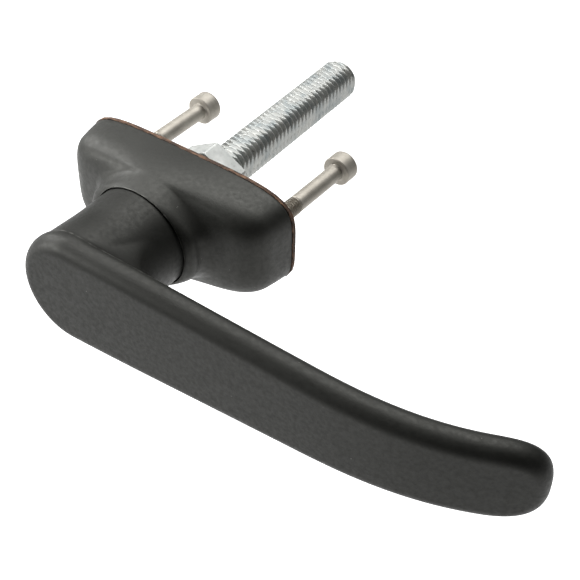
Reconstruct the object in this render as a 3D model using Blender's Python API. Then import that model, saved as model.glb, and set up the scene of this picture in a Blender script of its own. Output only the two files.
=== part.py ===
"""Lever handle on a fixing plate, with a threaded square spindle, its lock nut and two cap screws.

Frame: origin on the spindle's axis in the gasket's rear plane, which lies on the door.
+X runs along the lever to its tip, +Y along the spindle into the door, +Z up.
"""
import bpy
import bmesh
import math
from mathutils import Matrix, Vector

MM = 0.001
GAP = 0.3                     # clearance between pieces that touch

# driving dimensions, in millimetres
PLATE_HALF_LENGTH = 33.65     # at the plate's back
PLATE_HALF_HEIGHT = 14.98
PLATE_CORNER_POWER = 4.53     # superellipse power of the outline at the back
PLATE_POWER_RISE = 0.0325     # growth of that power for each millimetre of depth
PLATE_SIDE_DRAFT = 3.18       # how far the end leans in up to the lobe's front
LOBE_DEPTH = 13.34            # front of the lobes, from the rear plane
LOBE_RISE = 2.72              # how much the lobes' front climbs towards the collar
LOBE_CORNER_RADIUS = 9.0
COLLAR_ROOT_RADIUS = 4.0
COLLAR_WALL = 2.685
COLLAR_RIM_RADIUS = 2.2
COLLAR_RIM_LIP = 0.1
COLLAR_DEPTH = 21.55
PLATE_SWELL = 0.99            # how far the long sides bulge between the back and the collar's rim
PLATE_END_SWELL = 0.72        # the same for the ends
PLATE_WALL = 2.4
HOLLOW_RADIUS = 2.5
WEB_FRONT = 17.6              # floor of the collar's counterbore, from the rear plane
HUB_RADIUS = 12.2             # hub that stands through the gasket
BOSS_RADIUS = 5.4
GASKET_HALF_LENGTH = 34.0
GASKET_HALF_HEIGHT = 15.2
GASKET_THICKNESS = 1.0

NECK_RADIUS = 14.385
NECK_FLARE_CLEAR = 0.8        # how far the neck's flare stays inside the hub's side
JOURNAL_RADIUS = 8.0
BUSH_WALL = 1.7
BUSH_FLANGE = 1.0
SEAL_WIDTH = 1.9              # seal ring behind the bush
SEAL_EDGE = 0.4

LEVER_LENGTH = 124.6          # spindle axis to the tip
LEVER_HUB_OVERHANG = 14.93
LEVER_FACE = 49.88            # front face at the hub end, from the rear plane
LEVER_FACE_RISE = 0.023       # slope of the straight part of the face
LEVER_BEND_START = 66.0
LEVER_BEND_REACH = 14.1       # how far the tip comes back towards the door
LEVER_BEND_POWER = 2.67
LEVER_THICKNESS = 7.66
LEVER_FRONT_EDGE = 4.04       # depth of the rounded front edge
LEVER_FRONT_INSET = 3.51      # width of the rounded front edge
LEVER_BACK_EDGE = 4.15
LEVER_RIM_BAND = 0.4          # straight band between the two rounded edges
HUB_HALF_WIDTH = 15.92
GRIP_HALF_WIDTH = 10.16
WIDTH_RUN = 88.3              # length over which the lever narrows
WIDTH_DECAY = 1.1
WIDTH_POWER = 1.5
TIP_ROUND = 13.8
TIP_POWER = 2.83
WEB_FILLET = 12.0             # concave fillet between the neck and the lever's back

SPINDLE_RADIUS = 6.0          # M12 crest
SPINDLE_FLAT = 5.0            # half of the 10 mm square
SPINDLE_END = 71.7
SPINDLE_IN_NECK = 35.0
SPINDLE_CHAMFER = 1.2

WASHER_RADIUS = 11.5
WASHER_THICKNESS = 1.9
WASHER_EDGE = 0.25
SPRING_WASHER_RADIUS = 10.0
SPRING_WASHER_THICKNESS = 2.2
SPRING_WASHER_SLOT = 1.6
NUT_FLATS = 19.0
NUT_HEIGHT = 6.0
NUT_CHAMFER = 0.7

SCREW_SPACING = 47.9
SCREW_RADIUS = 2.4
THREAD_RADIUS = 2.45
THREAD_LENGTH = 22.0
THREAD_CHAMFER = 0.7
SCREW_LENGTH = 40.0
SCREW_FILLET = 0.4            # under the head
HEAD_RADIUS = 4.25
HEAD_HEIGHT = 4.8
HEAD_EDGE = 0.5
HEAD_BURR = 0.3               # broken edge under the head
HEAD_FRONT = 32.1             # underside of the heads, from the rear plane
KEY_FLATS = 4.0
KEY_DEPTH = 2.5
SCREW_LEAN = {"left": (0.018, -0.017), "right": (0.023, -0.013)}   # loose screws lean in their holes

# worked out from the dimensions above
COLLAR_BORE = NECK_RADIUS + GAP
COLLAR_RIM = COLLAR_BORE + COLLAR_RIM_LIP
PLATE_BACK = GASKET_THICKNESS + GAP
BUSH_RADIUS = JOURNAL_RADIUS + GAP + BUSH_WALL
NECK_END = WEB_FRONT + BUSH_FLANGE + 2 * GAP
LEVER_BACK = LEVER_FACE - LEVER_THICKNESS - 1.0
SCREW_PLACES = {"left": -SCREW_SPACING / 2, "right": SCREW_SPACING / 2}

# how finely the curved surfaces are cut
HUB_STEPS = 10
HAND_STEPS = 18
TIP_STEPS = 8
EDGE_STEPS = 4
FILLET_STEPS = 8

COLOURS = {
    "black_coat": ((0.035, 0.036, 0.034), 0.5, 0.0),
    "zinc_steel": ((0.55, 0.56, 0.56), 0.35, 1.0),
    "zinc_nut": ((0.70, 0.71, 0.69), 0.5, 0.9),
    "stainless": ((0.46, 0.44, 0.40), 0.4, 1.0),
    "gasket_fibre": ((0.16, 0.09, 0.055), 0.85, 0.0),
    "bush_nylon": ((0.75, 0.74, 0.70), 0.5, 0.0),
    "seal_rubber": ((0.02, 0.02, 0.02), 0.7, 0.0),
}


def clear_scene():
    for old in list(bpy.data.objects):
        bpy.data.objects.remove(old, do_unlink=True)


def material(slot):
    made = bpy.data.materials.get(slot)
    if made is None:
        made = bpy.data.materials.new(slot)
        made.use_nodes = True
        colour, roughness, metallic = COLOURS[slot]
        shader = made.node_tree.nodes["Principled BSDF"]
        shader.inputs["Base Color"].default_value = (*colour, 1.0)
        shader.inputs["Roughness"].default_value = roughness
        shader.inputs["Metallic"].default_value = metallic
    return made


def hexagon_bar(flats, middle, length):
    """Hexagonal bar about Y with one corner up."""
    corner = flats / math.sqrt(3)
    bm = bmesh.new()
    bmesh.ops.create_cone(bm, cap_ends=True, segments=6, radius1=corner, radius2=corner, depth=length)
    bmesh.ops.rotate(bm, matrix=Matrix.Rotation(math.pi / 2, 3, "X"), verts=bm.verts)
    bmesh.ops.translate(bm, vec=(0, middle, 0), verts=bm.verts)
    return bm


def add_object(name, bm, slot=None):
    """Turn a bmesh in millimetres into a named object in metres."""
    bmesh.ops.scale(bm, vec=(MM, MM, MM), verts=bm.verts)
    bmesh.ops.recalc_face_normals(bm, faces=bm.faces)
    mesh = bpy.data.meshes.new(name)
    bm.to_mesh(mesh)
    bm.free()
    mesh.shade_smooth()
    mesh.set_sharp_from_angle(angle=math.radians(35))
    made = bpy.data.objects.new(name, mesh)
    bpy.context.collection.objects.link(made)
    if slot:
        mesh.materials.append(material(slot))
    return made


def loft(rings):
    """Closed solid through rings of equal point count: flat ends, sides in triangles for exact cuts."""
    bm = bmesh.new()
    rows = [[bm.verts.new(point) for point in ring] for ring in rings]
    for near, far in zip(rows, rows[1:]):
        for i in range(len(near)):
            bm.faces.new((near[i - 1], near[i], far[i], far[i - 1]))
    bmesh.ops.triangulate(bm, faces=bm.faces)
    bm.faces.new(rows[0])
    bm.faces.new(rows[-1])
    return bm


def turned(profile, steps=40):
    """Solid of revolution about Y from (radius, y) points, with flat ends."""
    rings = []
    for radius, y in profile:
        angles = [2 * math.pi * (i + 0.5) / steps for i in range(steps)]
        rings.append([(radius * math.cos(a), y, radius * math.sin(a)) for a in angles])
    return loft(rings)


def spun(section, steps):
    """Ring whose closed section is given as (radius, y) points, carried round Y."""
    bm = bmesh.new()
    verts = [bm.verts.new((radius, y, 0)) for radius, y in section]
    edges = [bm.edges.new((verts[i - 1], verts[i])) for i in range(len(verts))]
    bmesh.ops.spin(bm, geom=verts + edges, cent=(0, 0, 0), axis=(0, 1, 0), angle=2 * math.pi,
                   steps=steps, use_merge=True)
    bmesh.ops.remove_doubles(bm, verts=bm.verts, dist=0.0001)
    return bm


def ring_solid(inner, outer, y0, y1, edge=0.0, steps=40):
    """Washer-like ring about Y, closed all round."""
    corners = [(inner, y0), (outer, y0), (outer, y1), (inner, y1)]
    if edge > 0.0:
        corners[1:3] = [(outer - edge, y0), (outer, y0 + edge), (outer, y1 - edge), (outer - edge, y1)]
    return spun(corners, steps)


def cutter(name, bm):
    made = add_object(name, bm)
    made.hide_render = True
    made.display_type = "WIRE"
    return made


def combine(target, tool, operation):
    step = target.modifiers.new(operation.lower() + "_" + tool.name, "BOOLEAN")
    step.operation = operation
    step.object = tool
    step.solver = "EXACT"


def rounded_path(corners, arc_steps=6):
    """Points of a polyline whose inner corners carry the given radii: corners are (x, y, radius)."""
    path = [Vector(corners[0][:2])]
    for before, corner, after in zip(corners, corners[1:], corners[2:]):
        here = Vector(corner[:2])
        towards = (Vector(before[:2]) - here).normalized()
        away = (Vector(after[:2]) - here).normalized()
        half = towards.angle(away) / 2
        reach = corner[2] / math.tan(half)
        centre = here + (towards + away).normalized() * corner[2] / math.sin(half)
        start = here + towards * reach - centre
        sweep = (math.pi - 2 * half) * (1 if start.cross(here + away * reach - centre) > 0 else -1)
        for i in range(arc_steps + 1):
            path.append(centre + Matrix.Rotation(sweep * i / arc_steps, 2) @ start)
    path.append(Vector(corners[-1][:2]))
    return path


def superellipse_radius(angle, half_x, half_z, power):
    across = abs(math.cos(angle) / half_x)
    up = abs(math.sin(angle) / half_z)
    return (across ** power + up ** power) ** (-1 / power)


def plate_ring(reach, depth, inset=0.0, turn=0.0, steps=72):
    """Outline of the plate whose end lies at reach: the collar's circle drawn out to the superellipse.

    An inset gives the hollow behind it; turn shifts the points by that share of a step.
    """
    share = (reach - COLLAR_RIM) / (PLATE_HALF_LENGTH - COLLAR_RIM)
    power = PLATE_CORNER_POWER + PLATE_POWER_RISE * min(depth, LOBE_DEPTH)
    bulge = math.sin(math.pi * depth / COLLAR_DEPTH)
    ring = []
    for i in range(steps):
        angle = 2 * math.pi * (i + turn) / steps
        edge = superellipse_radius(angle, PLATE_HALF_LENGTH, PLATE_HALF_HEIGHT, power)
        radius = COLLAR_RIM + (edge - COLLAR_RIM) * share - inset
        x = (radius + PLATE_END_SWELL * bulge * share) * math.cos(angle)
        ring.append((x, -depth, (radius + PLATE_SWELL * bulge) * math.sin(angle)))
    return ring


def build_plate():
    collar_side = COLLAR_BORE + COLLAR_WALL
    inner = PLATE_HALF_LENGTH - PLATE_SIDE_DRAFT
    profile = rounded_path([
        (PLATE_HALF_LENGTH, PLATE_BACK, 0),
        (inner, LOBE_DEPTH, LOBE_CORNER_RADIUS),
        (collar_side, LOBE_DEPTH + LOBE_RISE, COLLAR_ROOT_RADIUS),
        (collar_side, COLLAR_DEPTH, COLLAR_RIM_RADIUS),
        (COLLAR_RIM, COLLAR_DEPTH, 0)])
    outside = loft([plate_ring(reach, depth) for reach, depth in profile])
    plate = add_object("rose_plate", outside, "black_coat")

    hub = cutter("plate_hub", turned([(HUB_RADIUS, GAP), (HUB_RADIUS, -LOBE_DEPTH)]))
    combine(plate, hub, "UNION")
    ceiling = LOBE_DEPTH - PLATE_WALL
    corners = [(inner, -1.0, 0), (inner, ceiling, HOLLOW_RADIUS), (COLLAR_RIM, ceiling, 0)]
    pocket = loft([plate_ring(reach, depth, PLATE_WALL, 0.5) for reach, depth in rounded_path(corners, 3)])
    hollow = cutter("plate_hollow", pocket)
    combine(hollow, hub, "DIFFERENCE")
    for side, place in SCREW_PLACES.items():
        boss = turned([(BOSS_RADIUS, 3.0), (BOSS_RADIUS, -LOBE_DEPTH)], 32)
        bmesh.ops.translate(boss, vec=(place, 0, 0), verts=boss.verts)
        combine(hollow, cutter("plate_boss_" + side, boss), "DIFFERENCE")
    combine(plate, hollow, "DIFFERENCE")

    hole_radius = THREAD_RADIUS + GAP
    hole_end = HEAD_FRONT - SCREW_LENGTH - 2.0
    for side, place in SCREW_PLACES.items():
        hole = turned([(hole_radius, 1.0), (hole_radius, hole_end)], 32)
        bmesh.ops.translate(hole, vec=(place, 0, 0), verts=hole.verts)
        combine(plate, cutter("screw_hole_" + side, hole), "DIFFERENCE")
    bore_radius = BUSH_RADIUS + GAP
    bore = turned([(bore_radius, 2.0), (bore_radius, -WEB_FRONT), (COLLAR_BORE, -WEB_FRONT - 0.001),
                   (COLLAR_BORE, -COLLAR_DEPTH - 1.0)])
    combine(plate, cutter("plate_bore", bore), "DIFFERENCE")


def build_bush():
    """Flanged nylon bush between the lever's journal and the plate's web."""
    flange = -WEB_FRONT - GAP
    inner = JOURNAL_RADIUS + GAP
    rear = -SEAL_WIDTH - 2 * GAP
    rim = NECK_RADIUS - GAP
    section = [(inner, rear), (BUSH_RADIUS, rear), (BUSH_RADIUS, flange), (rim, flange),
               (rim, flange - BUSH_FLANGE), (inner, flange - BUSH_FLANGE)]
    add_object("bearing_bush", spun(section, 48), "bush_nylon")


def gasket_outline(y, steps=96):
    ring = []
    for i in range(steps):
        angle = 2 * math.pi * i / steps
        radius = superellipse_radius(angle, GASKET_HALF_LENGTH, GASKET_HALF_HEIGHT, PLATE_CORNER_POWER)
        ring.append((radius * math.cos(angle), y, radius * math.sin(angle)))
    return ring


def build_gasket():
    sheet = loft([gasket_outline(-GASKET_THICKNESS), gasket_outline(0.0)])
    gasket = add_object("gasket", sheet, "gasket_fibre")
    centre = turned([(HUB_RADIUS + GAP, 1), (HUB_RADIUS + GAP, -2)])
    combine(gasket, cutter("gasket_centre", centre), "DIFFERENCE")
    hole_radius = THREAD_RADIUS + 2 * GAP
    for side, place in SCREW_PLACES.items():
        hole = turned([(hole_radius, 1), (hole_radius, -2)], 32)
        bmesh.ops.translate(hole, vec=(place, 0, 0), verts=hole.verts)
        combine(gasket, cutter("gasket_hole_" + side, hole), "DIFFERENCE")


def lever_half_width(x):
    """Half width of the lever's face, narrowing smoothly from the hub to the grip."""
    run = max(x / WIDTH_RUN, 0.0)
    narrowing = math.exp(-WIDTH_DECAY * run ** WIDTH_POWER)
    return GRIP_HALF_WIDTH + (HUB_HALF_WIDTH - GRIP_HALF_WIDTH) * narrowing


def lever_outline():
    """Closed outline of the lever in plan, as (x, z), from the hub end round the tip and back."""
    straight = LEVER_LENGTH - TIP_ROUND
    upper = []
    for i in range(HUB_STEPS):
        angle = math.pi / 2 * i / HUB_STEPS
        upper.append((-LEVER_HUB_OVERHANG * math.cos(angle), HUB_HALF_WIDTH * math.sin(angle)))
    along_hand = [straight * i / HAND_STEPS for i in range(HAND_STEPS + 1)]
    upper += [(x, lever_half_width(x)) for x in along_hand]
    for i in range(1, TIP_STEPS):
        along = math.sin(math.pi / 2 * i / TIP_STEPS)
        x = straight + TIP_ROUND * along
        upper.append((x, lever_half_width(x) * (1 - along ** TIP_POWER) ** (1 / TIP_POWER)))
    upper.append((LEVER_LENGTH, 0.0))
    return upper + [(x, -z) for x, z in reversed(upper[1:-1])]


def lever_face(x):
    """Depth of the lever's front face: straight along the hand, bent back towards the door at the tip."""
    straight = LEVER_FACE - LEVER_FACE_RISE * (x + LEVER_HUB_OVERHANG)
    bend = max(x - LEVER_BEND_START, 0.0) / (LEVER_LENGTH - LEVER_BEND_START)
    return straight - LEVER_BEND_REACH * bend ** LEVER_BEND_POWER


def on_lever(x, z, depth):
    """Point at the given depth behind the front face, square to the face."""
    slope = (lever_face(x + 0.5) - lever_face(x - 0.5))
    square = math.hypot(1.0, slope)
    return (x + slope / square * depth, -lever_face(x) + depth / square, z)


def inset_outline(outline, inset):
    """Outline moved inwards, square to itself."""
    moved = []
    for i, (x, z) in enumerate(outline):
        ahead = outline[(i + 1) % len(outline)]
        behind = outline[i - 1]
        along = Vector((ahead[0] - behind[0], ahead[1] - behind[1])).normalized()
        moved.append((x + along.y * inset, z - along.x * inset))
    return moved


def lever_body():
    """Paddle of the lever: rings from the front's middle line over both edges to the back's."""
    outline = lever_outline()
    rings = []

    def add_ring(inset, depth, spread=1.0):
        rings.append([on_lever(x, z * spread, depth) for x, z in inset_outline(outline, inset)])

    for spread in (0.0, 0.35, 0.7):
        add_ring(LEVER_FRONT_INSET, 0.0, spread)
    arc = [math.pi / 2 * i / EDGE_STEPS for i in range(EDGE_STEPS + 1)]
    for angle in arc:
        add_ring(LEVER_FRONT_INSET * (1 - math.sin(angle)), LEVER_FRONT_EDGE * (1 - math.cos(angle)))
    band = LEVER_FRONT_EDGE + LEVER_RIM_BAND
    for angle in arc:
        depth = band + (LEVER_THICKNESS - band) * math.sin(angle)
        add_ring(LEVER_BACK_EDGE * (1 - math.cos(angle)), depth)
    for spread in (0.7, 0.35, 0.0):
        add_ring(LEVER_BACK_EDGE, LEVER_THICKNESS, spread)
    bm = bmesh.new()
    rows = [[bm.verts.new(point) for point in ring] for ring in rings]
    for near, far in zip(rows, rows[1:]):
        for i in range(len(near)):
            bm.faces.new((near[i - 1], near[i], far[i], far[i - 1]))
    bmesh.ops.remove_doubles(bm, verts=bm.verts, dist=0.001)
    bmesh.ops.dissolve_degenerate(bm, edges=bm.edges, dist=0.001)
    return bm


def neck_ring(depth, steps=64):
    """Ring of the neck, flared into the hub and drawn out along the lever by the web's fillet."""
    above = max(LEVER_BACK - depth, 0.0)
    web = 0.0
    if above < WEB_FILLET:
        web = WEB_FILLET - math.sqrt(WEB_FILLET ** 2 - (WEB_FILLET - above) ** 2)
    flare = (HUB_HALF_WIDTH - NECK_RADIUS - NECK_FLARE_CLEAR) * max(0.0, 1 - above / WEB_FILLET) ** 2
    ring = []
    for i in range(steps):
        angle = 2 * math.pi * i / steps
        across, up = math.cos(angle), math.sin(angle)
        x = (NECK_RADIUS + web * max(across, 0.0)) * across
        ring.append((x, -depth, (NECK_RADIUS + flare) * up))
    return ring


def build_lever():
    lever = add_object("lever", lever_body(), "black_coat")
    arc = [math.pi / 2 * i / FILLET_STEPS for i in range(1, FILLET_STEPS)]
    depths = [NECK_END, LEVER_BACK - WEB_FILLET]
    depths += [LEVER_BACK - WEB_FILLET * math.cos(angle) for angle in arc]
    depths += [LEVER_BACK, LEVER_FACE - LEVER_THICKNESS / 2]
    neck = loft([neck_ring(depth) for depth in depths])
    combine(lever, cutter("lever_neck", neck), "UNION")
    journal = turned([(JOURNAL_RADIUS, GAP), (JOURNAL_RADIUS, -NECK_END - 1.0)])
    combine(lever, cutter("lever_journal", journal), "UNION")
    socket_radius = SPINDLE_RADIUS + GAP
    socket = turned([(socket_radius, 1.0), (socket_radius, -SPINDLE_IN_NECK - GAP)])
    combine(lever, cutter("lever_socket", socket), "DIFFERENCE")


def build_seal():
    seal = ring_solid(JOURNAL_RADIUS + GAP, BUSH_RADIUS, -SEAL_WIDTH - GAP, -GAP, SEAL_EDGE)
    add_object("shaft_seal", seal, "seal_rubber")


def build_spindle():
    """Square bar with its corners turned to the thread's crest."""
    steps = 48

    def section(y, shrink=0.0):
        ring = []
        for i in range(steps):
            angle = 2 * math.pi * (i + 0.5) / steps
            x = (SPINDLE_RADIUS - shrink) * math.cos(angle)
            z = (SPINDLE_RADIUS - shrink) * math.sin(angle)
            limit = SPINDLE_FLAT - shrink * 0.4
            ring.append((max(-limit, min(limit, x)), y, max(-limit, min(limit, z))))
        return ring

    rings = [section(-SPINDLE_IN_NECK, SPINDLE_CHAMFER), section(-SPINDLE_IN_NECK + SPINDLE_CHAMFER),
             section(SPINDLE_END - SPINDLE_CHAMFER), section(SPINDLE_END, SPINDLE_CHAMFER)]
    add_object("spindle", loft(rings), "zinc_steel")


def build_washers_and_nut():
    bore = SPINDLE_RADIUS + GAP
    start = 2 * GAP
    flat = ring_solid(bore, WASHER_RADIUS, start, start + WASHER_THICKNESS, WASHER_EDGE)
    add_object("flat_washer", flat, "zinc_steel")
    start += WASHER_THICKNESS + GAP
    ring = ring_solid(bore, SPRING_WASHER_RADIUS, start, start + SPRING_WASHER_THICKNESS)
    spring = add_object("spring_washer", ring, "zinc_steel")
    slot = bmesh.new()
    bmesh.ops.create_cube(slot, size=1.0)
    bmesh.ops.scale(slot, vec=(SPRING_WASHER_SLOT, 8.0, SPRING_WASHER_RADIUS), verts=slot.verts)
    bmesh.ops.translate(slot, vec=(0, start, -SPRING_WASHER_RADIUS / 2 - 4), verts=slot.verts)
    combine(spring, cutter("spring_slot", slot), "DIFFERENCE")
    start += SPRING_WASHER_THICKNESS + GAP

    end = start + NUT_HEIGHT
    nut = add_object("lock_nut", hexagon_bar(NUT_FLATS, start + NUT_HEIGHT / 2, NUT_HEIGHT), "zinc_nut")
    crown = NUT_FLATS / 2 + 0.5
    beyond = NUT_FLATS / math.sqrt(3) + 0.1
    barrel = turned([(crown, start - 0.01), (beyond, start + NUT_CHAMFER), (beyond, end - NUT_CHAMFER),
                     (crown, end + 0.01)])
    combine(nut, cutter("nut_chamfer", barrel), "INTERSECT")
    hole = turned([(bore, start - 1), (bore, end + 1)])
    combine(nut, cutter("nut_bore", hole), "DIFFERENCE")


def build_screw(side, place):
    """Socket head cap screw, thread end at the plate, standing on its own axis."""
    tip = HEAD_FRONT - SCREW_LENGTH
    top = HEAD_FRONT + HEAD_HEIGHT
    thread_end = tip + THREAD_LENGTH
    profile = [(THREAD_RADIUS - THREAD_CHAMFER, tip), (THREAD_RADIUS, tip + THREAD_CHAMFER),
               (THREAD_RADIUS, thread_end - 0.3), (SCREW_RADIUS, thread_end),
               (SCREW_RADIUS, HEAD_FRONT - SCREW_FILLET), (SCREW_RADIUS + SCREW_FILLET, HEAD_FRONT),
               (HEAD_RADIUS - HEAD_BURR, HEAD_FRONT), (HEAD_RADIUS, HEAD_FRONT + HEAD_BURR),
               (HEAD_RADIUS, top - HEAD_EDGE), (HEAD_RADIUS - HEAD_EDGE, top)]
    screw = add_object("screw_" + side, turned(profile, 32), "stainless")
    hexagon = cutter("key_" + side, hexagon_bar(KEY_FLATS, top, 2 * KEY_DEPTH))
    combine(screw, hexagon, "DIFFERENCE")
    lean_x, lean_z = SCREW_LEAN[side]
    hexagon.parent = screw
    screw.location = Vector((place, 0, 0)) * MM
    screw.rotation_mode = "QUATERNION"
    screw.rotation_quaternion = Vector((0, 1, 0)).rotation_difference(Vector((lean_x, 1, lean_z)))


def main():
    clear_scene()
    build_plate()
    build_gasket()
    build_bush()
    build_lever()
    build_seal()
    build_spindle()
    build_washers_and_nut()
    for side, place in SCREW_PLACES.items():
        build_screw(side, place)


main()
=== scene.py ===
import bpy
import math
import numpy as np
from mathutils import Euler, Matrix, Vector


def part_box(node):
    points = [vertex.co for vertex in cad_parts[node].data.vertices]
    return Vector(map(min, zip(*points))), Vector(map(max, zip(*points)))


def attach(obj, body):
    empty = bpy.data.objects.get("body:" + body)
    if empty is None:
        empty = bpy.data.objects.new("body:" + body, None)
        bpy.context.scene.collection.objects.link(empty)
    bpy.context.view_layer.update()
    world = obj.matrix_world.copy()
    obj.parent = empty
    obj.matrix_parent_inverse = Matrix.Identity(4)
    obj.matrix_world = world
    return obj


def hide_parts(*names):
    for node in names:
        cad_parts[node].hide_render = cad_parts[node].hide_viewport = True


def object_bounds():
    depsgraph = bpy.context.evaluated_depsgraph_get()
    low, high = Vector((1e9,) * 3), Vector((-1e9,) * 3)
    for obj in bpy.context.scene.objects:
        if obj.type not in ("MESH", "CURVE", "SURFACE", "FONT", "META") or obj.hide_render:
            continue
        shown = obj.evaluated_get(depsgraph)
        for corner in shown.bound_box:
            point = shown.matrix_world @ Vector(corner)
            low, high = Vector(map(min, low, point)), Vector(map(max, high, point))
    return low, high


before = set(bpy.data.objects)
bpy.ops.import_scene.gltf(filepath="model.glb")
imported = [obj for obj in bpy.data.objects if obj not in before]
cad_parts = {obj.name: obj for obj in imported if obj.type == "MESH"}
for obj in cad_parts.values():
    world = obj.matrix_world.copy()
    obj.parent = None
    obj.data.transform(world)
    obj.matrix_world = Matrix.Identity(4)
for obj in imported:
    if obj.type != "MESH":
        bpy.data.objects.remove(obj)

mm = 0.001
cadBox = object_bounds()


def makePiece(name, points, faces, smoothAngle=40):
    mesh = bpy.data.meshes.new(name)
    mesh.from_pydata(points.tolist(), [], faces)
    mesh.validate()
    mesh.shade_smooth()
    mesh.set_sharp_from_angle(angle=math.radians(smoothAngle))
    piece = bpy.data.objects.new(name, mesh)
    bpy.context.scene.collection.objects.link(piece)
    return piece


def gridFaces(rows, cols, closeRows):
    # quads between neighbouring rows; columns always wrap round, rows wrap if closeRows
    r = np.arange(rows if closeRows else rows - 1)
    c = np.arange(cols)
    a = (r[:, None] * cols + c[None, :]).ravel()
    b = (r[:, None] * cols + (c[None, :] + 1) % cols).ravel()
    nextRow = (r[:, None] + 1) % rows * cols
    d = (nextRow + c[None, :]).ravel()
    e = (nextRow + (c[None, :] + 1) % cols).ravel()
    return np.stack([a, b, e, d], axis=1)


def gridPiece(name, grid, closeRows=True, smoothAngle=40):
    # grid is rows x columns x 3 in metres; open ends are closed by one point in their middle
    rows, cols = grid.shape[:2]
    points = grid.reshape(-1, 3)
    faces = gridFaces(rows, cols, closeRows)
    if not closeRows:
        middle = np.array([grid[0].mean(axis=0), grid[-1].mean(axis=0)])
        points = np.vstack([points, middle])
        c = np.arange(cols)
        near = np.stack([(c + 1) % cols, c, np.full(cols, rows * cols)], axis=1)
        last = (rows - 1) * cols
        far = np.stack([last + c, last + (c + 1) % cols, np.full(cols, rows * cols + 1)], axis=1)
        allFaces = faces.tolist() + near.tolist() + far.tolist()
    else:
        allFaces = faces.tolist()
    quads = points[faces]
    volume = np.einsum("ij,ij->i", quads[:, 0], np.cross(quads[:, 1], quads[:, 2])).sum()
    volume += np.einsum("ij,ij->i", quads[:, 0], np.cross(quads[:, 2], quads[:, 3])).sum()
    if not closeRows:
        for triangles in (near, far):
            corner = points[triangles]
            crossed = np.cross(corner[:, 1], corner[:, 2])
            volume += np.einsum("ij,ij->i", corner[:, 0], crossed).sum()
    if volume < 0:
        allFaces = [face[::-1] for face in allFaces]
    return makePiece(name, points, allFaces, smoothAngle)


def turnedRows(profile, cols):
    # profile of (radius, y) carried round the Y axis, in millimetres
    radius, y = np.asarray(profile, float).T
    angle = 2 * np.pi * np.arange(cols) / cols
    x = radius[:, None] * np.cos(angle)
    z = radius[:, None] * np.sin(angle)
    return np.stack([x, np.broadcast_to(y[:, None], x.shape), z], axis=2)


def roundedPath(corners, arcSteps=8, spacing=0.8):
    # polyline through (u, v, radius) corners, each turned into an arc of its radius,
    # then cut into short steps
    points = [np.array(corners[0][:2], float)]
    for before, corner, after in zip(corners, corners[1:], corners[2:]):
        here = np.array(corner[:2], float)
        if corner[2] == 0:
            points.append(here)
            continue
        towards = np.array(before[:2], float) - here
        away = np.array(after[:2], float) - here
        towards /= np.linalg.norm(towards)
        away /= np.linalg.norm(away)
        half = np.arccos(np.clip(towards @ away, -1, 1)) / 2
        reach = corner[2] / np.tan(half)
        middle = towards + away
        centre = here + middle / np.linalg.norm(middle) * corner[2] / np.sin(half)
        start = here + towards * reach - centre
        stop = here + away * reach - centre
        turn = np.arctan2(start[0] * stop[1] - start[1] * stop[0], start @ stop)
        for step in np.linspace(0, turn, arcSteps + 1):
            cosine, sine = np.cos(step), np.sin(step)
            points.append(centre + [start[0] * cosine - start[1] * sine,
                                    start[0] * sine + start[1] * cosine])
    points.append(np.array(corners[-1][:2], float))
    path = [points[0]]
    for point in points[1:]:
        length = np.linalg.norm(point - path[-1])
        if length < 1e-6:
            continue
        pieces = max(1, int(np.ceil(length / spacing)))
        begin = path[-1]
        path += [begin + (point - begin) * k / pieces for k in range(1, pieces + 1)]
    return np.array(path)


def markPoints(piece, name, values):
    # a number for every point, which a material may read
    mark = piece.data.attributes.new(name, "FLOAT", "POINT")
    mark.data.foreach_set("value", np.asarray(values, dtype=np.float32))


def smoothstep(value):
    value = np.clip(value, 0, 1)
    return value * value * (3 - 2 * value)


def newMaterial(name):
    material = bpy.data.materials.new(name)
    material.use_nodes = True
    tree = material.node_tree
    shader = tree.nodes["Principled BSDF"]
    return material, tree, shader


def node(tree, kind, **values):
    made = tree.nodes.new(kind)
    for key, value in values.items():
        if key in made.inputs:
            made.inputs[key].default_value = value
        else:
            setattr(made, key, value)
    return made


def noise(tree, place, scale, detail=4.0, roughness=0.5):
    made = node(tree, "ShaderNodeTexNoise", Scale=scale, Detail=detail, Roughness=roughness)
    tree.links.new(place, made.inputs["Vector"])
    return made.outputs["Fac"]


def ramp(tree, value, stops):
    made = tree.nodes.new("ShaderNodeValToRGB")
    line = made.color_ramp
    while len(line.elements) < len(stops):
        line.elements.new(0.5)
    for element, (position, colour) in zip(line.elements, stops):
        element.position = position
        if isinstance(colour, float):
            colour = (colour, colour, colour)
        element.color = (*colour, 1)
    tree.links.new(value, made.inputs["Fac"])
    return made.outputs["Color"]


def calc(tree, operation, first, second=None, third=None):
    made = tree.nodes.new("ShaderNodeMath")
    made.operation = operation
    for index, value in enumerate((first, second, third)):
        if value is None:
            continue
        if isinstance(value, (int, float)):
            made.inputs[index].default_value = value
        else:
            tree.links.new(value, made.inputs[index])
    return made.outputs[0]


def mix(tree, factor, first, second, blend="MIX"):
    made = tree.nodes.new("ShaderNodeMix")
    made.data_type = "RGBA"
    made.blend_type = blend
    for index, value in ((0, factor), (6, first), (7, second)):
        if isinstance(value, tuple):
            made.inputs[index].default_value = (*value, 1)
        elif isinstance(value, (int, float)):
            made.inputs[index].default_value = value
        else:
            tree.links.new(value, made.inputs[index])
    return made.outputs[2]


def objectPlace(tree, scale=(1, 1, 1)):
    place = tree.nodes.new("ShaderNodeTexCoord").outputs["Object"]
    if scale == (1, 1, 1):
        return place
    mapping = node(tree, "ShaderNodeMapping", Scale=scale)
    tree.links.new(place, mapping.inputs["Vector"])
    return mapping.outputs["Vector"]


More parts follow.
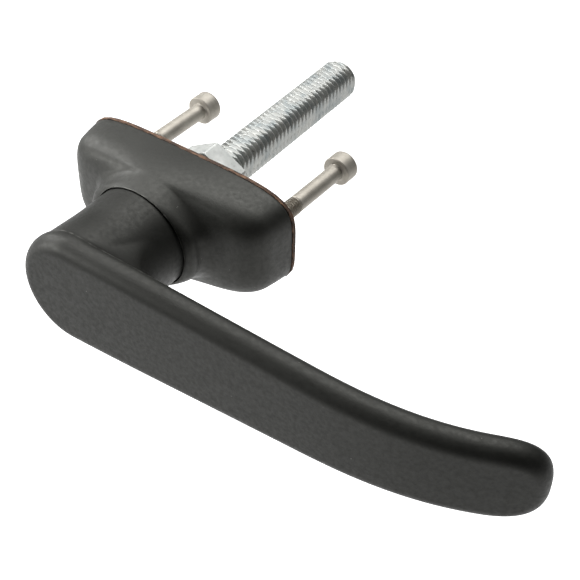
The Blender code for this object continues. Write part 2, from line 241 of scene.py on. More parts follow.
def bump(tree, shader, bands):
    # layers of (height, strength, distance) are chained one on another
    normal = None
    for height, strength, distance in bands:
        made = node(tree, "ShaderNodeBump", Strength=strength, Distance=distance)
        tree.links.new(height, made.inputs["Height"])
        if normal is not None:
            tree.links.new(normal, made.inputs["Normal"])
        normal = made.outputs["Normal"]
    tree.links.new(normal, shader.inputs["Normal"])


# the pale line colour below is a painted highlight where it runs along the lever's parting line
coatLook = dict(dark=(0.0118, 0.0121, 0.0106), light=(0.0182, 0.0186, 0.0164),
                dust=(0.10, 0.10, 0.09), paleLine=(0.12, 0.12, 0.11), paleLineFull=0.04, paleLineGone=0.13,
                breakScale=600.0, breaks=[(0.42, 0.10), (0.66, 0.85)],
                cloudScale=60.0, cloudShare=0.6, fineScale=1700.0, fineShare=0.4,
                dustScale=850.0, dotScale=430.0, dustShare=0.71, dotSize=0.11,
                roughLow=0.44, roughHigh=0.60, roughScale=900.0,
                grain=5200.0, grainStrength=0.25, grainDepth=0.00006,
                waveScale=1300.0, waveStrength=0.15, waveDepth=0.00008,
                specular=0.40, tint=(1.0, 1.0, 0.93, 1.0))
leverCoatLook = dict(coatLook, dark=(0.0078, 0.0080, 0.0070), light=(0.0122, 0.0124, 0.0110),
                     specular=0.30)


def blackCoat(name, look, paleLineMark):
    # cloudy near-black coat with a fine grain, stray dust specks and a broken pale line
    # where the point attribute named by the last argument comes within about a tenth of zero; on
    # the lever that line is a painted highlight for the light caught by the parting line's small
    # ridge
    material, tree, shader = newMaterial(name)
    place = objectPlace(tree)
    cloud = noise(tree, place, look["cloudScale"], 3.0)
    fine = noise(tree, place, look["fineScale"], 3.0)
    both = calc(tree, "MULTIPLY_ADD", cloud, look["cloudShare"],
                calc(tree, "MULTIPLY", fine, look["fineShare"]))
    tone = ramp(tree, both, [(0.32, look["dark"]), (0.68, look["light"])])
    speck = node(tree, "ShaderNodeTexVoronoi", Scale=look["dustScale"])
    tree.links.new(place, speck.inputs["Vector"])
    dot = calc(tree, "LESS_THAN", speck.outputs["Distance"], look["dotSize"])
    rare = calc(tree, "GREATER_THAN", noise(tree, place, look["dotScale"], 1.0),
                look["dustShare"])
    colour = mix(tree, calc(tree, "MULTIPLY", dot, rare), tone, look["dust"])
    # pale broken line: on the lever a painted highlight along the parting line, on the plate a pale
    # line along the collar's inner edge
    mark = node(tree, "ShaderNodeAttribute", attribute_name=paleLineMark)
    away = calc(tree, "ABSOLUTE", mark.outputs["Fac"])
    line = ramp(tree, away, [(look["paleLineFull"], 1.0), (look["paleLineGone"], 0.0)])
    broken = ramp(tree, noise(tree, place, look["breakScale"], 3.0), look["breaks"])
    colour = mix(tree, calc(tree, "MULTIPLY", line, broken), colour, look["paleLine"])
    tree.links.new(colour, shader.inputs["Base Color"])
    rough = ramp(tree, noise(tree, place, look["roughScale"], 4.0),
                 [(0.3, look["roughLow"]), (0.7, look["roughHigh"])])
    tree.links.new(rough, shader.inputs["Roughness"])
    shader.inputs["Specular IOR Level"].default_value = look["specular"]
    shader.inputs["Specular Tint"].default_value = look["tint"]
    grain = noise(tree, place, look["grain"], 2.0)
    wave = noise(tree, place, look["waveScale"], 2.0)
    bump(tree, shader, [(grain, look["grainStrength"], look["grainDepth"]),
                        (wave, look["waveStrength"], look["waveDepth"])])
    return material


zincLook = dict(base=(0.38, 0.388, 0.372), blue=(0.27, 0.295, 0.295), pale=(0.46, 0.46, 0.43),
                dirt=(0.10, 0.09, 0.08), dirtShare=0.75, metallic=0.62, roughLow=0.38,
                roughHigh=0.56, patch=240.0, pit=1500.0, pitShare=0.68, rib=1900.0, marks=2600.0,
                markRun=400.0, markStrength=0.25, ribStrength=0.2, depth=0.00004)


def brightZinc():
    # cool bright plate with bluish patches, dark pits and fine marks across the bar
    look = zincLook
    material, tree, shader = newMaterial("bright zinc")
    place = objectPlace(tree)
    patch = noise(tree, place, look["patch"], 5.0, 0.6)
    run = look["markRun"]
    across = noise(tree, objectPlace(tree, (run, look["marks"], run)), 1.0, 4.0, 0.6)
    tone = ramp(tree, patch, [(0.34, look["blue"]), (0.52, look["base"]), (0.8, look["pale"])])
    pits = calc(tree, "GREATER_THAN", noise(tree, place, look["pit"], 2.0), look["pitShare"])
    colour = mix(tree, calc(tree, "MULTIPLY", pits, look["dirtShare"]), tone, look["dirt"])
    tree.links.new(colour, shader.inputs["Base Color"])
    shader.inputs["Metallic"].default_value = look["metallic"]
    rough = ramp(tree, across, [(0.3, look["roughLow"]), (0.7, look["roughHigh"])])
    tree.links.new(rough, shader.inputs["Roughness"])
    bump(tree, shader, [(across, look["markStrength"], look["depth"]),
                        (noise(tree, place, look["rib"], 3.0), look["ribStrength"], look["depth"])])
    return material


nutLook = dict(low=(0.40, 0.415, 0.40), high=(0.56, 0.57, 0.55), mark=(0.26, 0.26, 0.24),
               markShare=0.4, metallic=0.55, roughLow=0.45, roughHigh=0.62, roughScale=900.0,
               patch=320.0, scratch=1400.0, scratchShare=0.70,
               grain=1700.0, grainStrength=0.3, grainDepth=0.00005)


def paleZinc():
    # pale satin plate with slightly darker handling marks
    look = nutLook
    material, tree, shader = newMaterial("pale zinc")
    place = objectPlace(tree)
    tone = ramp(tree, noise(tree, place, look["patch"], 5.0, 0.6),
                [(0.3, look["low"]), (0.7, look["high"])])
    scratch = calc(tree, "GREATER_THAN", noise(tree, place, look["scratch"], 2.0),
                   look["scratchShare"])
    colour = mix(tree, calc(tree, "MULTIPLY", scratch, look["markShare"]), tone, look["mark"])
    tree.links.new(colour, shader.inputs["Base Color"])
    shader.inputs["Metallic"].default_value = look["metallic"]
    rough = ramp(tree, noise(tree, place, look["roughScale"], 3.0),
                 [(0.3, look["roughLow"]), (0.7, look["roughHigh"])])
    tree.links.new(rough, shader.inputs["Roughness"])
    grain = noise(tree, place, look["grain"], 3.0)
    bump(tree, shader, [(grain, look["grainStrength"], look["grainDepth"])])
    return material


steelLook = dict(low=(0.27, 0.248, 0.212), high=(0.44, 0.415, 0.365), metallic=0.65,
                 roughLow=0.46, roughHigh=0.62, turning=5200.0, turningRun=260.0, patch=300.0,
                 share=0.5, strength=0.35, depth=0.00004)


def turnedStainless():
    # warm grey steel with turning marks round the screw's axis
    look = steelLook
    material, tree, shader = newMaterial("turned stainless")
    place = objectPlace(tree)
    run = look["turningRun"]
    marks = noise(tree, objectPlace(tree, (run, look["turning"], run)), 1.0, 3.0, 0.6)
    patch = noise(tree, place, look["patch"], 4.0)
    both = calc(tree, "MULTIPLY_ADD", marks, look["share"],
                calc(tree, "MULTIPLY", patch, look["share"]))
    tone = ramp(tree, both, [(0.3, look["low"]), (0.7, look["high"])])
    tree.links.new(tone, shader.inputs["Base Color"])
    shader.inputs["Metallic"].default_value = look["metallic"]
    rough = ramp(tree, marks, [(0.3, look["roughLow"]), (0.7, look["roughHigh"])])
    tree.links.new(rough, shader.inputs["Roughness"])
    bump(tree, shader, [(marks, look["strength"], look["depth"])])
    return material


fibreLook = dict(bands=3400.0, run=420.0, bandStrength=0.6, bandDepth=0.00012,
                 fuzz=2400.0, fuzzStrength=0.4, fuzzDepth=0.00006,
                 roughScale=800.0, roughLow=0.78, roughHigh=0.92,
                 tones=[(0.36, (0.010, 0.006, 0.004)), (0.47, (0.045, 0.024, 0.014)),
                        (0.58, (0.16, 0.085, 0.048)), (0.76, (0.34, 0.21, 0.13))])


def brownFibre():
    # fibre sheet coloured in near-black, dark brown and tan bands that run along the edge
    look = fibreLook
    material, tree, shader = newMaterial("brown fibre")
    place = objectPlace(tree)
    stretch = (look["run"], look["bands"], look["run"])
    bands = noise(tree, objectPlace(tree, stretch), 1.0, 4.0, 0.65)
    tree.links.new(ramp(tree, bands, look["tones"]), shader.inputs["Base Color"])
    rough = ramp(tree, noise(tree, place, look["roughScale"], 3.0),
                 [(0.3, look["roughLow"]), (0.7, look["roughHigh"])])
    tree.links.new(rough, shader.inputs["Roughness"])
    fuzz = noise(tree, place, look["fuzz"], 4.0)
    bump(tree, shader, [(bands, look["bandStrength"], look["bandDepth"]),
                        (fuzz, look["fuzzStrength"], look["fuzzDepth"])])
    return material


nylonLook = dict(low=(0.66, 0.64, 0.58), high=(0.76, 0.75, 0.70), toneScale=200.0,
                 roughLow=0.38, roughHigh=0.52, roughScale=500.0,
                 grain=1200.0, grainStrength=0.2, grainDepth=0.00005)
rubberLook = dict(low=(0.015, 0.015, 0.015), high=(0.035, 0.035, 0.034), toneScale=300.0,
                  roughLow=0.62, roughHigh=0.80, roughScale=600.0,
                  grain=1500.0, grainStrength=0.25, grainDepth=0.00005)


def mouldedFinish(name, look):
    # softly clouded moulded surface with a fine grain
    material, tree, shader = newMaterial(name)
    place = objectPlace(tree)
    tone = ramp(tree, noise(tree, place, look["toneScale"], 4.0),
                [(0.3, look["low"]), (0.7, look["high"])])
    tree.links.new(tone, shader.inputs["Base Color"])
    rough = ramp(tree, noise(tree, place, look["roughScale"], 3.0),
                 [(0.3, look["roughLow"]), (0.7, look["roughHigh"])])
    tree.links.new(rough, shader.inputs["Roughness"])
    grain = noise(tree, place, look["grain"], 3.0)
    bump(tree, shader, [(grain, look["grainStrength"], look["grainDepth"])])
    return material


leverCoat = blackCoat("black lever coat", leverCoatLook, "offParting")
plateCoat = blackCoat("black plate coat", coatLook, "offRim")
zinc = brightZinc()
nutZinc = paleZinc()
stainless = turnedStainless()
fibre = brownFibre()
nylon = mouldedFinish("natural nylon", nylonLook)
rubber = mouldedFinish("seal rubber", rubberLook)
print("materials ready")


def dress(piece, material):
    piece.data.materials.clear()
    piece.data.materials.append(material)


def stands(piece, material, nodeName, body):
    dress(piece, material)
    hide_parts(nodeName)
    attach(piece, body)


plateShape = dict(halfLength=33.63, halfHeight=14.97, cornerPower=4.53, powerRise=0.0325,
                  sideDraft=3.18, lobeDepth=13.34, lobeRise=2.72, lobeCorner=9.0, collarRoot=4.0,
                  collarWall=2.685, rimRound=2.2, collarDepth=21.55, swell=0.99, endSwell=0.72,
                  collarBore=14.685, rimLip=0.1, backDepth=1.05, floorDepth=17.6, bushBore=10.3,
                  hubRadius=12.2, edgeRound=0.15, mouthInset=0.2, hubBack=-0.3, paleLineScale=0.35,
                  cols=360)


def plateSurface():
    # rows follow one closed profile (reach, depth); each row is a circle drawn out towards the
    # plate's superellipse: radius(angle) = rim + (edge(angle) - rim) * share, where the power
    # grows with the depth; sides and ends bulge by swell * sin(pi * depth / collar depth)
    p = plateShape
    rim = p["collarBore"] + p["rimLip"]
    wall = p["collarBore"] + p["collarWall"]
    outer = roundedPath([
        (p["halfLength"] - p["edgeRound"], p["backDepth"], 0),
        (p["halfLength"], p["backDepth"] + p["edgeRound"], 0),
        (p["halfLength"] - p["sideDraft"], p["lobeDepth"], p["lobeCorner"]),
        (wall, p["lobeDepth"] + p["lobeRise"], p["collarRoot"]),
        (wall, p["collarDepth"], p["rimRound"]),
        (rim, p["collarDepth"], 0)], arcSteps=12, spacing=0.45)
    inner = roundedPath([
        (p["collarBore"], p["collarDepth"] - p["mouthInset"], 0),
        (p["collarBore"], p["floorDepth"], 0), (p["bushBore"], p["floorDepth"], 0),
        (p["bushBore"], p["hubBack"], 0), (p["hubRadius"], p["hubBack"], 0),
        (p["hubRadius"], p["backDepth"], 0)], spacing=1.5)
    angle = 2 * np.pi * (np.arange(p["cols"]) + 0.5) / p["cols"]
    cosine, sine = np.cos(angle), np.sin(angle)
    depth = outer[:, 1:2]
    share = (outer[:, :1] - rim) / (p["halfLength"] - rim)
    power = p["cornerPower"] + p["powerRise"] * np.minimum(depth, p["lobeDepth"])
    edge = (np.abs(cosine / p["halfLength"]) ** power
            + np.abs(sine / p["halfHeight"]) ** power) ** (-1 / power)
    radius = rim + (edge - rim) * share
    bulge = np.sin(np.pi * depth / p["collarDepth"])
    x = np.vstack([(radius + p["endSwell"] * bulge * share) * cosine, inner[:, :1] * cosine])
    z = np.vstack([(radius + p["swell"] * bulge) * sine, inner[:, :1] * sine])
    y = np.broadcast_to(-np.vstack([depth, inner[:, 1:2]]), x.shape)
    return np.stack([x, y, z], axis=2) * mm


def offRim(points):
    # distance from the collar's inner edge, scaled so that the coat's pale line is a third of a
    # millimetre wide
    p = plateShape
    radius = np.hypot(points[:, 0], points[:, 2])
    across = radius - p["collarBore"] - p["rimLip"]
    return p["paleLineScale"] * np.hypot(across, -points[:, 1] - p["collarDepth"])


plateGrid = plateSurface()
platePiece = gridPiece("plate-casting", plateGrid, smoothAngle=60)
markPoints(platePiece, "offRim", offRim(plateGrid.reshape(-1, 3) / mm))
stands(platePiece, plateCoat, "rose_plate", "plate")
print("plate made")


leverShape = dict(length=124.5, hubOverhang=14.93, face=49.88, faceRise=0.023, bendStart=66.0,
                  bendReach=14.1, bendPower=2.67, thickness=7.66, frontEdge=4.04, frontInset=3.51,
                  backEdge=4.15, partingStep=0.4, hubHalf=15.83, gripHalf=10.16, widthRun=88.3,
                  widthDecay=1.1, widthPower=1.5, tipRound=13.8, tipPower=2.83, neckRadius=14.385,
                  neckEnd=19.2, neckRoot=46.0, journal=8.0, socket=6.3, socketEnd=35.3,
                  flareFrom=30.0, webBlend=13.0, webInward=6.0, webLeast=0.8, partingDepth=6.2,
                  paleLineScale=0.45, paleLineThinning=1.2, cell=0.5, low=(-15.5, -51.0, -17.5),
                  high=(126.0, 1.5, 17.5))


def leverFace(x):
    # depth of the front face: a straight run, then a power curve back towards the door
    p = leverShape
    bend = np.maximum(x - p["bendStart"], 0) / (p["length"] - p["bendStart"])
    straight = p["face"] - p["faceRise"] * (x + p["hubOverhang"])
    return straight - p["bendReach"] * bend ** p["bendPower"]


def leverHalfWidth(x):
    # half width: grip + (hub - grip) * exp(-decay * run^power)
    p = leverShape
    run = np.maximum(x / p["widthRun"], 0)
    decay = np.exp(-p["widthDecay"] * run ** p["widthPower"])
    return p["gripHalf"] + (p["hubHalf"] - p["gripHalf"]) * decay


def planDistance(x, z):
    # about the distance to the lever's outline in plan: a superellipse end at the tip,
    # an ellipse round the hub
    p = leverShape
    straight = p["length"] - p["tipRound"]
    half = leverHalfWidth(x)
    power = np.where(x > p["bendStart"], p["tipPower"], 2.0)
    end = np.maximum(np.maximum(-x / p["hubOverhang"], (x - straight) / p["tipRound"]), 0)
    side = np.abs(z) / half
    level = (end ** power + side ** power + 1e-12) ** (1 / power)
    reach = np.where(x > p["bendStart"], p["tipRound"], p["hubOverhang"])
    slopeEnd = np.where(end > 0, (end / level) ** (power - 1) / reach, 0)
    slopeSide = (side / level) ** (power - 1) / half
    return (level - 1) / np.maximum(np.hypot(slopeEnd, slopeSide), 0.04)


def leverDistance(points):
    # signed distance-like field of the whole casting, in millimetres, negative inside
    p = leverShape
    x, y, z = points.T
    slope = leverFace(x + 0.5) - leverFace(x - 0.5)
    square = np.sqrt(1 + slope ** 2)
    depth = (y + leverFace(x)) / square
    foot = x - slope / square * depth
    slope = leverFace(foot + 0.5) - leverFace(foot - 0.5)
    square = np.sqrt(1 + slope ** 2)
    depth = (y + leverFace(foot) + slope * (x - foot)) / square
    plan = planDistance(foot, z)
    front = p["frontEdge"]
    across = np.maximum(plan + p["frontInset"], 0) / p["frontInset"]
    along = np.maximum(front - depth, 0) / front
    frontPart = (np.hypot(across, along) - 1) * p["frontInset"]
    backHeight = p["thickness"] - front - p["partingStep"]
    across = np.maximum(plan + p["backEdge"], 0) / p["backEdge"]
    along = np.maximum(depth - front - p["partingStep"], 0) / backHeight
    backPart = (np.hypot(across, along) - 1) * backHeight
    paddle = np.maximum(frontPart, backPart)
    climb = smoothstep((-y - p["flareFrom"]) / (p["neckRoot"] - p["flareFrom"] - 1))
    flare = (p["hubHalf"] - p["neckRadius"] - 0.25) * climb
    round_ = np.hypot(x, z * p["neckRadius"] / (p["neckRadius"] + flare)) - p["neckRadius"]
    neck = np.maximum(np.maximum(round_, -y - p["neckRoot"]), y + p["neckEnd"])
    behind = smoothstep((depth - front - 0.5) / (p["thickness"] - front - 0.5))
    inward = smoothstep((-plan - 0.6) / p["webInward"])
    blend = p["webLeast"] + p["webBlend"] * smoothstep((x + 1) / 12) * behind * inward
    share = np.clip(0.5 + 0.5 * (paddle - neck) / blend, 0, 1)
    whole = paddle * (1 - share) + neck * share - blend * share * (1 - share)
    journal = np.maximum(np.hypot(x, z) - p["journal"], np.maximum(y - 0.3, -y - 30))
    whole = np.minimum(whole, journal)
    socket = np.maximum(np.hypot(x, z) - p["socket"], -y - p["socketEnd"])
    return np.maximum(whole, -socket)


def surfaceNet(field, low, high, cell, rounds=4, step=0.02):
    # surface of field = 0: a point in every cell that the surface crosses, placed at the mean of
    # the crossings on the cell's edges and then moved along the field's slope onto the surface;
    # a quad for every crossed edge
    count = np.ceil((high - low) / cell).astype(int) + 1
    axes = [low[k] + cell * np.arange(count[k]) for k in range(3)]
    value = np.empty(count)
    for i, x in enumerate(axes[0]):
        yy, zz = np.meshgrid(axes[1], axes[2], indexing="ij")
        layer = np.stack([np.full(yy.size, x), yy.ravel(), zz.ravel()], axis=1)
        value[i] = field(layer).reshape(yy.shape)
    inside = value < 0
    total = np.zeros([n - 1 for n in count] + [3])
    hits = np.zeros([n - 1 for n in count])
    crossings = []
    for axis in range(3):
        first = [slice(None)] * 3
        second = [slice(None)] * 3
        first[axis] = slice(0, -1)
        second[axis] = slice(1, None)
        a, b = value[tuple(first)], value[tuple(second)]
        where = np.argwhere(inside[tuple(first)] != inside[tuple(second)])
        va, vb = a[tuple(where.T)], b[tuple(where.T)]
        point = where.astype(float)
        point[:, axis] += va / (va - vb)
        crossings.append((axis, where, va < 0))
        others = [k for k in range(3) if k != axis]
        for du in (0, 1):
            for dv in (0, 1):
                cellIndex = where.copy()
                cellIndex[:, others[0]] -= du
                cellIndex[:, others[1]] -= dv
                np.add.at(total, tuple(cellIndex.T), point)
                np.add.at(hits, tuple(cellIndex.T), 1)
    active = np.argwhere(hits > 0)
    number = -np.ones(hits.shape, int)
    number[tuple(active.T)] = np.arange(len(active))
    points = low + cell * total[tuple(active.T)] / hits[tuple(active.T)][:, None]
    for _ in range(rounds):
        here = field(points)
        slope = np.stack([(field(points + reach) - field(points - reach)) / (2 * step)
                          for reach in step * np.eye(3)], axis=1)
        move = here / np.maximum((slope ** 2).sum(axis=1), 0.05)
        points = points - np.clip(move, -cell / 2, cell / 2)[:, None] * slope
    faces = []
    for axis, where, leaving in crossings:
        u, v = [(1, 2), (2, 0), (0, 1)][axis]
        corners = []
        for du, dv in ((0, 0), (1, 0), (1, 1), (0, 1)):
            index = where.copy()
            index[:, u] -= du
            index[:, v] -= dv
            corners.append(number[tuple(index.T)])
        quads = np.stack(corners, axis=1)
        quads[~leaving] = quads[~leaving][:, ::-1]
        faces.append(quads)
    return points, np.vstack(faces)


def offParting(points):
    # how far a point lies behind the mould's parting line, where the coat paints a highlight line:
    # the difference of depth behind the face, plus more where a deep point is inside the outline,
    # all of it growing along the hand so that the painted highlight line gets thinner
    p = leverShape
    x, y, z = points.T
    slope = leverFace(x + 0.5) - leverFace(x - 0.5)
    depth = (y + leverFace(x)) / np.sqrt(1 + slope ** 2)
    inside = 1 - smoothstep((planDistance(x, z) + 1.6) / 0.6)
    signed = p["paleLineScale"] * (depth - p["partingDepth"]) + 3 * inside * smoothstep(depth - 5)
    return signed * (1 + p["paleLineThinning"] * smoothstep((x - 5) / 80))


def leverPiece():
    p = leverShape
    cell = p["cell"] * 1
    points, faces = surfaceNet(leverDistance, np.array(p["low"]), np.array(p["high"]), cell)
    edges = points[faces[:, 1]] - points[faces[:, 0]]
    normal = np.cross(edges, points[faces[:, 2]] - points[faces[:, 0]])
    if np.einsum("ij,ij->", points[faces[:, 0]], normal) < 0:
        faces = faces[:, ::-1]
    piece = makePiece("lever-casting", points * mm, faces.tolist(), smoothAngle=70)
    # the coat paints a pale highlight line where offParting is near zero, standing in for the light
    # caught by the parting line's ridge
    markPoints(piece, "offParting", offParting(points))
    return piece


leverCasting = leverPiece()
stands(leverCasting, leverCoat, "lever", "handle")
print("lever made,", len(leverCasting.data.polygons), "faces")


spindleShape = dict(crest=5.99, flat=4.995, pitch=1.75, depth=1.06, threadFrom=1.0, end=71.7,
                    start=-35.0, chamfer=1.3, runIn=1.5, cols=144, perPitch=13)


def threadDepth(turns, depth):
    # flat crest for an eighth of the pitch, sloping flanks, flat root for a quarter
    part = np.abs((turns % 1.0) - 0.5) * 2
    return depth * np.clip((part - 0.125) / 0.625, 0, 1)


def spindleSurface():
    # r(angle, y) = the smaller of the thread's radius and the square's radius, rounded at the edges
    p = spindleShape
    plain = np.linspace(p["start"], p["threadFrom"], 12, endpoint=False)
    rows = int((p["end"] - p["threadFrom"]) / p["pitch"] * p["perPitch"])
    y = np.concatenate([plain, np.linspace(p["threadFrom"], p["end"], rows)])
    angle = 2 * np.pi * (np.arange(p["cols"]) + 0.5) / p["cols"]
    square = p["flat"] / np.maximum(np.abs(np.cos(angle)), np.abs(np.sin(angle)))
    turns = y[:, None] / p["pitch"] - angle[None, :] / (2 * np.pi)
    started = smoothstep((y - p["threadFrom"]) / p["runIn"])[:, None]
    thread = p["crest"] - threadDepth(turns, p["depth"]) * started
    endCut = p["crest"] - np.maximum(0, p["chamfer"] - (p["end"] - y))[:, None]
    startCut = p["crest"] - np.maximum(0, p["chamfer"] - (y - p["start"]))[:, None]
    thread = np.minimum(np.minimum(thread, endCut), startCut)
    radius = np.minimum(thread, square[None, :])
    x = radius * np.cos(angle)
    z = radius * np.sin(angle)
    return np.stack([x, np.broadcast_to(y[:, None], x.shape), z], axis=2) * mm


spindlePiece = gridPiece("threaded-spindle", spindleSurface(), closeRows=False, smoothAngle=35)
stands(spindlePiece, zinc, "spindle", "handle")
print("spindle made,", len(spindlePiece.data.polygons), "faces")


washerShape = dict(bore=6.35, flat=11.45, edge=0.3, spring=9.95, springEdge=0.25, seam=0.3,
                   slotAngle=0.085)


def boxSpan(nodeName):
    low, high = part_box(nodeName)
    return low[1] / mm, high[1] / mm


def flatWasherSurface():
    # a ring with slightly rounded outer edges
    p = washerShape
    y0, y1 = boxSpan("flat_washer")
    profile = roundedPath([(p["bore"], y0, 0), (p["flat"], y0, p["edge"]),
                           (p["flat"], y1, p["edge"]), (p["bore"], y1, 0)], 5, 0.6)
    return turnedRows(profile, 180) * mm


flatPiece = gridPiece("flat-washer", flatWasherSurface())
stands(flatPiece, zinc, "flat_washer", "handle")


def springWasherSurface():
    # a square-edged ring that stops at both sides of its slot, closed by flat ends
    p = washerShape
    y0, y1 = boxSpan("spring_washer")
    profile = roundedPath([(p["bore"], y0, 0), (p["spring"], y0, p["springEdge"]),
                           (p["spring"], y1, p["springEdge"]), (p["bore"], y1, 0),
                           (p["bore"], y0 + p["seam"], 0)], 4, 0.6)
    gap = p["slotAngle"]
    along = -np.pi / 2 + gap + (2 * np.pi - 2 * gap) * np.linspace(0, 1, 160)
    radius, y = profile.T
    x = np.cos(along)[:, None] * radius
    z = np.sin(along)[:, None] * radius
    return np.stack([x, np.broadcast_to(y, x.shape), z], axis=2) * mm


springPiece = gridPiece("spring-washer", springWasherSurface(), closeRows=False, smoothAngle=40)
stands(springPiece, zinc, "spring_washer", "handle")


nutShape = dict(flats=19.0, crown=1.2, cornerCut=0.15, bore=6.2, mouth=7.3, mouthDepth=0.9,
                endRun=1.2, endRows=9, sideFrom=1.9, coneSlope=1.73, cols=360)


def nutSurface():
    # side radius(angle, y) = the smaller of the hexagon and a 30 degree chamfer cone at either face
    p = nutShape
    y0, y1 = boxSpan("lock_nut")
    half = p["flats"] / 2
    angle = 2 * np.pi * (np.arange(p["cols"]) + 0.5) / p["cols"]
    corner = (angle - np.pi / 2 + np.pi / 6) % (np.pi / 3) - np.pi / 6
    hexagon = half / np.cos(np.pi / 6 - np.abs(corner))
    hexagon = np.minimum(hexagon, half / np.cos(np.pi / 6) - p["cornerCut"])
    nearEnd = np.linspace(0, p["endRun"], p["endRows"])
    middle = np.linspace(y0 + p["sideFrom"], y1 - p["sideFrom"], 4)
    side = np.concatenate([y0 + nearEnd, middle, y1 - nearEnd[::-1]])
    cone = half + p["crown"] + np.minimum(side - y0, y1 - side) * p["coneSlope"]
    sideRadius = np.minimum(hexagon[None, :], cone[:, None])
    bore = np.array([(p["mouth"], y1), (p["bore"], y1 - p["mouthDepth"]),
                     (p["bore"], y0 + p["mouthDepth"]), (p["mouth"], y0)])
    face = (half + p["mouth"]) / 2
    ring = np.full((1, p["cols"]), face)
    radius = np.vstack([sideRadius, ring, np.repeat(bore[:, :1], p["cols"], axis=1), ring])
    y = np.concatenate([side, [y1], bore[:, 1], [y0]])
    x = radius * np.cos(angle)
    z = radius * np.sin(angle)
    return np.stack([x, np.broadcast_to(y[:, None], x.shape), z], axis=2) * mm


nutPiece = gridPiece("lock-nut", nutSurface(), smoothAngle=25)
stands(nutPiece, nutZinc, "lock_nut", "nut")
print("nut and washers made")


screwShape = dict(spacing=47.9, shank=2.38, crest=2.44, root=1.78, pitch=0.8, length=40.0,
                  headFront=32.1, headRadius=4.24, headHeight=4.8, headEdge=0.7,
                  threadLength=22.0, threadFade=1.2, tipChamfer=0.7, fillet=0.35, seatEdge=0.25,
                  keyFlats=4.0, keyDepth=2.5, keyMouth=2.9, keyInside=2.55, keyPoint=0.9, cols=72,
                  lean=dict(left=(0.018, -0.017), right=(0.023, -0.013)))


def screwSurface(side):
    # thread: radius = crest less the thread's depth at y / pitch - angle; shank, underhead fillet
    # and head are turned; the socket is a hexagon, half flats / cos(angle from a flat's middle)
    p = screwShape
    angle = 2 * np.pi * np.arange(p["cols"]) / p["cols"]
    tip = p["headFront"] - p["length"]
    top = p["headFront"] + p["headHeight"]
    threadEnd = tip + p["threadLength"]
    threadY = np.arange(tip, threadEnd, p["pitch"] / 10)
    turns = threadY[:, None] / p["pitch"] - angle[None, :] / (2 * np.pi)
    fade = smoothstep((threadEnd - threadY) / p["threadFade"])[:, None]
    thread = (p["shank"] + (p["crest"] - p["shank"]) * fade
              - threadDepth(turns, p["crest"] - p["root"]) * fade)
    chamfer = np.maximum(0, p["tipChamfer"] - (threadY - tip))[:, None]
    thread = np.minimum(thread, p["crest"] - chamfer)
    turned = roundedPath([
        (p["shank"], threadEnd, 0), (p["shank"], p["headFront"] - 0.01, p["fillet"]),
        (p["headRadius"] - p["seatEdge"], p["headFront"], 0),
        (p["headRadius"], p["headFront"] + p["seatEdge"], 0.1),
        (p["headRadius"], top, p["headEdge"]), (p["keyMouth"], top, 0),
        (p["keyInside"], top - 0.15, 0)], 6, 0.5)
    outside = np.repeat(turned[:, :1], p["cols"], axis=1)
    wedge = (angle % (np.pi / 3)) - np.pi / 6
    hexagon = p["keyFlats"] / 2 / np.cos(wedge)
    socketY = np.array([top - 0.3, top - 1.2, top - p["keyDepth"]])
    socket = np.repeat(hexagon[None, :], 3, axis=0)
    bottom = np.full((1, p["cols"]), p["keyPoint"])
    radius = np.vstack([thread, outside, socket, bottom])
    y = np.concatenate([threadY, turned[:, 1], socketY, [top - p["keyDepth"] - 0.5]])
    x = radius * np.cos(angle)
    z = radius * np.sin(angle)
    grid = np.stack([x, np.broadcast_to(y[:, None], x.shape), z], axis=2)
    leanX, leanZ = p["lean"][side]
    leaned = Vector((leanX, 1, leanZ))
    turn = np.array(Vector((0, 1, 0)).rotation_difference(leaned).to_matrix())
    place = np.array([p["spacing"] / 2 * (1 if side == "right" else -1), 0, 0])
    return (grid @ turn.T + place) * mm


for side in ("left", "right"):
    screw = gridPiece(side + "-cap-screw", screwSurface(side), closeRows=False, smoothAngle=40)
    stands(screw, stainless, "screw_" + side, side + "_screw")
print("screws made")

for nodeName, material in (("gasket", fibre), ("bearing_bush", nylon), ("shaft_seal", rubber)):
    dress(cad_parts[nodeName], material)

studio = dict(floorDrop=0.35, floorSize=6.0, floorColour=(0.9, 0.9, 0.9), floorRough=0.9,
              floorGlow=0.72, world=(1.0, 1.0, 1.0), worldStrength=0.06, aim=(0.04, -0.02, 0.0),
              top=dict(place=(-0.10, 0.42, 0.80), width=0.8, height=0.6, power=9.5),
              left=dict(place=(-0.85, 0.10, 0.55), width=0.4, height=0.8, power=10.0),
              front=dict(place=(-0.17, -0.17, 0.08), width=0.12, height=0.12, power=0.6))


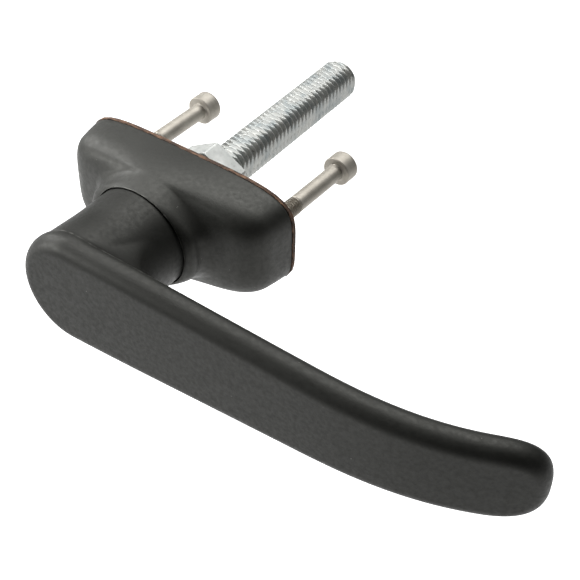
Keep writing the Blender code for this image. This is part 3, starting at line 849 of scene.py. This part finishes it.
def makeFloor():
    low = np.array(cadBox[0])
    z = low[2] - studio["floorDrop"]
    size = studio["floorSize"] / 2
    mesh = bpy.data.meshes.new("floor")
    corners = [(-size, -size, z), (size, -size, z), (size, size, z), (-size, size, z)]
    mesh.from_pydata(corners, [], [(0, 1, 2, 3)])
    floor = bpy.data.objects.new("floor", mesh)
    bpy.context.scene.collection.objects.link(floor)
    material, tree, shader = newMaterial("pale floor")
    shader.inputs["Base Color"].default_value = (*studio["floorColour"], 1)
    shader.inputs["Roughness"].default_value = studio["floorRough"]
    shader.inputs["Emission Color"].default_value = (1, 1, 1, 1)
    shader.inputs["Emission Strength"].default_value = studio["floorGlow"]
    mesh.materials.append(material)


def softBox(name):
    values = studio[name]
    lamp = bpy.data.lights.new(name + " box", "AREA")
    lamp.shape = "RECTANGLE"
    lamp.size = values["width"]
    lamp.size_y = values["height"]
    lamp.energy = values["power"]
    light = bpy.data.objects.new(name + " box", lamp)
    bpy.context.scene.collection.objects.link(light)
    light.visible_camera = False
    light.location = values["place"]
    facing = Vector(studio["aim"]) - Vector(values["place"])
    light.rotation_euler = facing.to_track_quat("-Z", "Y").to_euler()


def makeLights():
    for name in ("top", "left", "front"):
        softBox(name)
    world = bpy.data.worlds.new("studio")
    world.use_nodes = True
    back = world.node_tree.nodes["Background"]
    back.inputs["Color"].default_value = (*studio["world"], 1)
    back.inputs["Strength"].default_value = studio["worldStrength"]
    bpy.context.scene.world = world


viewpoint = dict(place=(171.409, -199.472, 211.269), azimuth=34.828, elevation=43.142, roll=1.428,
                 lens=77.59, sensor=36.0)


def makeCamera():
    v = viewpoint
    lens = bpy.data.cameras.new("camera")
    lens.sensor_width = v["sensor"]
    lens.lens = v["lens"]
    camera = bpy.data.objects.new("camera", lens)
    bpy.context.scene.collection.objects.link(camera)
    turn = Euler((math.radians(90 - v["elevation"]), 0, math.radians(v["azimuth"]))).to_matrix()
    turn = turn @ Matrix.Rotation(math.radians(v["roll"]), 3, "Z")
    camera.matrix_world = Matrix.Translation(Vector(v["place"]) * mm) @ turn.to_4x4()
    bpy.context.scene.camera = camera


makeFloor()
makeLights()
makeCamera()
bpy.context.scene.view_settings.view_transform = "Standard"
